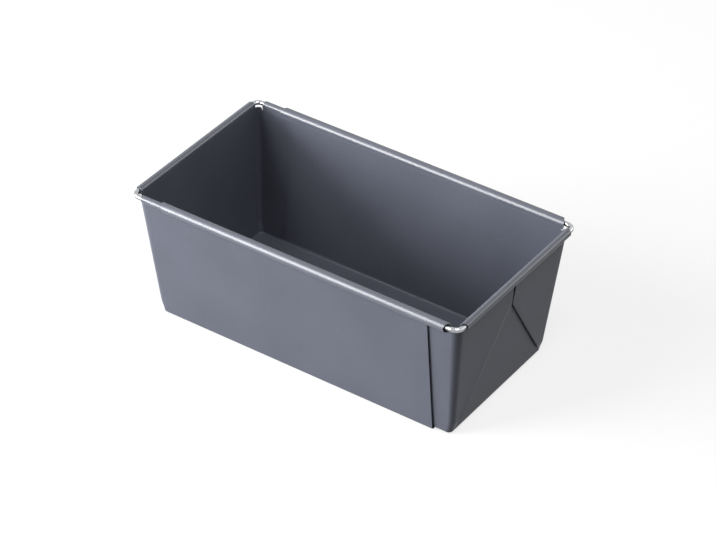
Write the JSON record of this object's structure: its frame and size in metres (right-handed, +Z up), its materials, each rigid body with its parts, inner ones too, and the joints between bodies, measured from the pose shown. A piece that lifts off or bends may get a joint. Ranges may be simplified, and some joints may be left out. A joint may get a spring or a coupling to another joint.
{
  "type": "extendable loaf pan",
  "caption": "Long tapered metal loaf pan in two nested trays that slide apart to lengthen it, with rolled wire-stiffened rims and folded gusset corners.",
  "frame": {"origin": "centre of the closed pan's outline, on the surface it stands on", "axes": "+X along the pan towards the sliding tray's end, +Y across it, +Z up"},
  "size_m": [0.2038, 0.113, 0.0797],
  "materials": {
    "nonstick_steel": "satin dark grey non-stick coating on sheet steel",
    "rim_wire": "bright drawn steel wire"
  },
  "bodies": {
    "outer_tray": {"outer_tray": "nonstick_steel", "outer_rim_wire": "rim_wire"},
    "inner_tray": {"inner_tray": "nonstick_steel", "inner_rim_wire": "rim_wire"}
  },
  "joints": [
    {"name": "tray_slide", "type": "slide", "parent": "outer_tray", "child": "inner_tray", "axis": [1, 0, 0], "range_m": [0, 0.14]}
  ]
}
